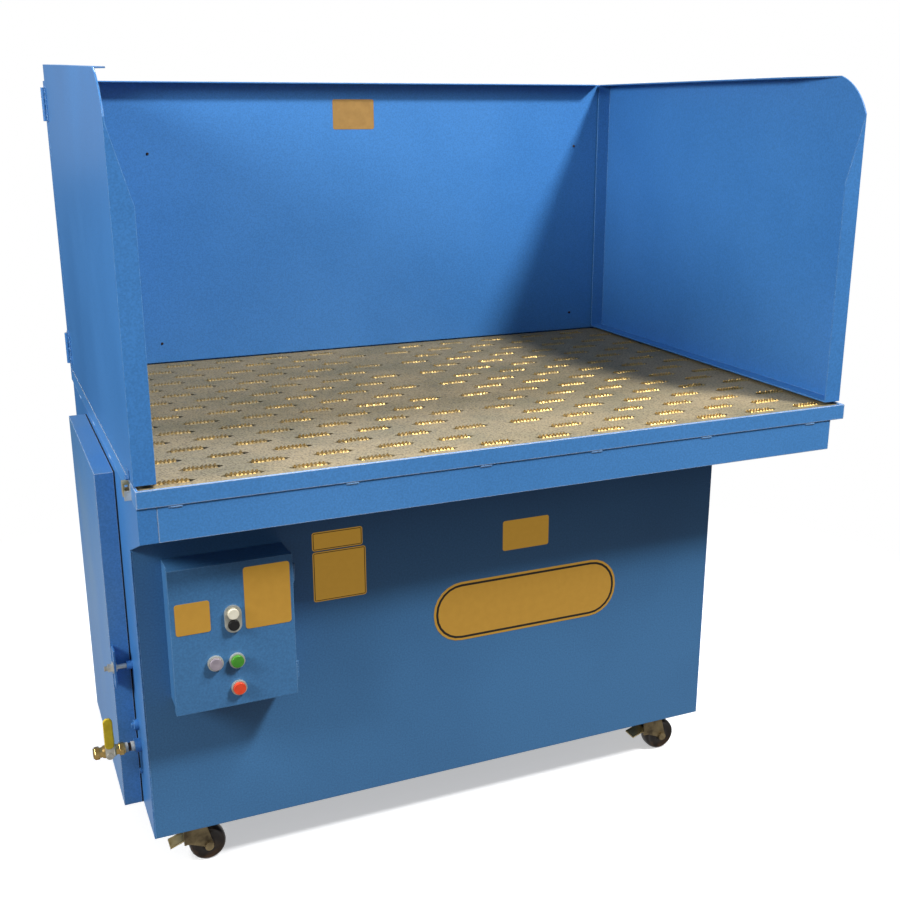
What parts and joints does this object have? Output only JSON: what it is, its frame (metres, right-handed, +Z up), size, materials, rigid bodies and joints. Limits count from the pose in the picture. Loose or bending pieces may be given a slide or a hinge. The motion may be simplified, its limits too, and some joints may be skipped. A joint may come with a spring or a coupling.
{
  "type": "downdraft table",
  "caption": "Downdraft work table with a grated top, a three-sided shield with hinged wings, and a filter and fan cabinet on casters.",
  "frame": {"origin": "on the floor under the middle of the whole, valve and latches included", "axes": "+X along the table toward the overhanging end, -Y toward the worker, +Z up"},
  "size_m": [1.631, 1.09, 1.606],
  "materials": {
    "blue_paint": "semi-gloss enamel with a light orange-peel",
    "grating_metal": "mill finish, dusty",
    "galvanised": "zinc coated",
    "zinc": "bright zinc plate",
    "painted_hardware": "painted over with the door",
    "dark_pipe": "black pipe with white thread tape",
    "brass": "machined",
    "yellow_lever": "dipped vinyl sleeve on a steel strip",
    "pedal_metal": "yellow zinc plate",
    "filter_media": "pleated media between steel end caps",
    "gasket_rubber": "closed cell foam",
    "wheel_rubber": "worn tread",
    "grey_plastic": "moulded",
    "white_plastic": "moulded",
    "green_plastic": "moulded",
    "red_plastic": "moulded",
    "black_plastic": "moulded"
  },
  "bodies": {
    "cabinet": {"rim_frame": "blue_paint", "hopper_aprons": "blue_paint", "hopper_ends": "blue_paint", "hopper_floor": "blue_paint", "grate_bearers": "galvanised", "grating_left": "grating_metal", "grating_right": "grating_metal", "cabinet_base": "blue_paint", "cabinet_front": "blue_paint", "cabinet_right_side": "blue_paint", "cabinet_back": "blue_paint", "cabinet_left_side": "blue_paint", "back_shield": "blue_paint", "shield_hinges_fixed": "zinc", "latch_plates": "zinc", "door_hinges_fixed": "zinc", "welded_fittings": "blue_paint", "air_pipe": "dark_pipe", "valve_body": "brass", "tube_sheet": "blue_paint", "filter_lower": "filter_media", "filter_upper": "filter_media", "filter_yokes": "galvanised", "dust_tray": "galvanised", "pulse_tank": "blue_paint", "fan_bulkhead": "blue_paint", "blower_motor": "blue_paint", "control_box": "blue_paint", "control_gear": "grey_plastic", "caster_plates": "galvanised"},
    "left_wing": {"left_wing": "blue_paint", "left_wing_hardware": "zinc"},
    "right_wing": {"right_wing": "blue_paint", "right_wing_hardware": "zinc"},
    "latch_lever_left": {"latch_lever_left": "zinc"},
    "latch_lever_right": {"latch_lever_right": "zinc"},
    "access_door": {"access_door": "blue_paint", "door_gasket": "gasket_rubber", "door_hardware": "painted_hardware"},
    "clamp_screw": {"clamp_screw": "zinc"},
    "valve_handle": {"valve_handle": "yellow_lever"},
    "fan_wheel": {"fan_wheel": "galvanised"},
    "control_lid": {"control_lid": "blue_paint", "button_bezels": "zinc"},
    "button_white": {"button_white": "white_plastic"},
    "button_green": {"button_green": "green_plastic"},
    "button_red": {"button_red": "red_plastic"},
    "twin_button_white": {"twin_button_white": "white_plastic"},
    "twin_button_black": {"twin_button_black": "black_plastic"},
    "caster_front_left": {"caster_yoke_front_left": "galvanised"},
    "wheel_front_left": {"caster_wheel_front_left": "wheel_rubber"},
    "brake_front_left": {"brake_pedal_front_left": "pedal_metal"},
    "caster_front_right": {"caster_yoke_front_right": "galvanised"},
    "wheel_front_right": {"caster_wheel_front_right": "wheel_rubber"},
    "brake_front_right": {"brake_pedal_front_right": "pedal_metal"},
    "caster_rear_left": {"caster_yoke_rear_left": "galvanised"},
    "wheel_rear_left": {"caster_wheel_rear_left": "wheel_rubber"},
    "caster_rear_right": {"caster_yoke_rear_right": "galvanised"},
    "wheel_rear_right": {"caster_wheel_rear_right": "wheel_rubber"}
  },
  "joints": [
    {"name": "left_wing_swing", "type": "hinge", "parent": "cabinet", "child": "left_wing", "pos_m": [-0.7265, 0.5035, 0.88], "axis": [0, 0, -1], "range_deg": [0, 160]},
    {"name": "right_wing_swing", "type": "hinge", "parent": "cabinet", "child": "right_wing", "pos_m": [0.8075, 0.5035, 0.88], "axis": [0, 0, 1], "range_deg": [0, 160]},
    {"name": "latch_left_tilt", "type": "hinge", "parent": "cabinet", "child": "latch_lever_left", "pos_m": [-0.7295, -0.477, 0.857], "axis": [0, -1, 0], "range_deg": [0, 100]},
    {"name": "latch_right_tilt", "type": "hinge", "parent": "cabinet", "child": "latch_lever_right", "pos_m": [0.8105, -0.477, 0.857], "axis": [0, 1, 0], "range_deg": [0, 100]},
    {"name": "door_swing", "type": "hinge", "parent": "cabinet", "child": "access_door", "pos_m": [-0.7265, 0.231, 0.104], "axis": [0, 0, -1], "range_deg": [0, 100]},
    {"name": "clamp_turn", "type": "hinge", "parent": "access_door", "child": "clamp_screw", "pos_m": [-0.7545, -0.271, 0.43], "axis": [1, 0, 0], "continuous": true},
    {"name": "valve_turn", "type": "hinge", "parent": "cabinet", "child": "valve_handle", "pos_m": [-0.7845, -0.319, 0.262], "axis": [0, -1, 0], "range_deg": [0, 90]},
    {"name": "fan_spin", "type": "hinge", "parent": "cabinet", "child": "fan_wheel", "pos_m": [0.1855, 0.03, 0.4445], "axis": [1, 0, 0], "continuous": true},
    {"name": "lid_swing", "type": "hinge", "parent": "cabinet", "child": "control_lid", "pos_m": [-0.431, -0.4575, 0.405], "axis": [0, 0, 1], "range_deg": [0, 150]},
    {"name": "button_white_press", "type": "slide", "parent": "control_lid", "child": "button_white", "axis": [0, 1, 0], "range_m": [0, 0.0035], "stiffness_N_per_m": 400, "springref_m": -0.001},
    {"name": "button_green_press", "type": "slide", "parent": "control_lid", "child": "button_green", "axis": [0, 1, 0], "range_m": [0, 0.0035], "stiffness_N_per_m": 400, "springref_m": -0.001},
    {"name": "button_red_press", "type": "slide", "parent": "control_lid", "child": "button_red", "axis": [0, 1, 0], "range_m": [0, 0.0035], "stiffness_N_per_m": 400, "springref_m": -0.001},
    {"name": "twin_button_white_press", "type": "slide", "parent": "control_lid", "child": "twin_button_white", "axis": [0, 1, 0], "range_m": [0, 0.0035], "stiffness_N_per_m": 400, "springref_m": -0.001},
    {"name": "twin_button_black_press", "type": "slide", "parent": "control_lid", "child": "twin_button_black", "axis": [0, 1, 0], "range_m": [0, 0.0035], "stiffness_N_per_m": 400, "springref_m": -0.001},
    {"name": "swivel_front_left", "type": "hinge", "parent": "cabinet", "child": "caster_front_left", "pos_m": [-0.6285, -0.347, 0.103], "axis": [0, 0, 1], "continuous": true},
    {"name": "roll_front_left", "type": "hinge", "parent": "caster_front_left", "child": "wheel_front_left", "pos_m": [-0.6105, -0.347, 0.038], "axis": [0, 1, 0], "continuous": true},
    {"name": "brake_front_left_tilt", "type": "hinge", "parent": "caster_front_left", "child": "brake_front_left", "pos_m": [-0.6545, -0.347, 0.056], "axis": [0, -1, 0], "range_deg": [0, 12]},
    {"name": "swivel_front_right", "type": "hinge", "parent": "cabinet", "child": "caster_front_right", "pos_m": [0.4755, -0.347, 0.103], "axis": [0, 0, 1], "continuous": true},
    {"name": "roll_front_right", "type": "hinge", "parent": "caster_front_right", "child": "wheel_front_right", "pos_m": [0.4935, -0.347, 0.038], "axis": [0, 1, 0], "continuous": true},
    {"name": "brake_front_right_tilt", "type": "hinge", "parent": "caster_front_right", "child": "brake_front_right", "pos_m": [0.4495, -0.347, 0.056], "axis": [0, -1, 0], "range_deg": [0, 12]},
    {"name": "swivel_rear_left", "type": "hinge", "parent": "cabinet", "child": "caster_rear_left", "pos_m": [-0.6285, 0.453, 0.103], "axis": [0, 0, 1], "continuous": true},
    {"name": "roll_rear_left", "type": "hinge", "parent": "caster_rear_left", "child": "wheel_rear_left", "pos_m": [-0.6105, 0.453, 0.038], "axis": [0, 1, 0], "continuous": true},
    {"name": "swivel_rear_right", "type": "hinge", "parent": "cabinet", "child": "caster_rear_right", "pos_m": [0.4755, 0.453, 0.103], "axis": [0, 0, 1], "continuous": true},
    {"name": "roll_rear_right", "type": "hinge", "parent": "caster_rear_right", "child": "wheel_rear_right", "pos_m": [0.4935, 0.453, 0.038], "axis": [0, 1, 0], "continuous": true}
  ]
}
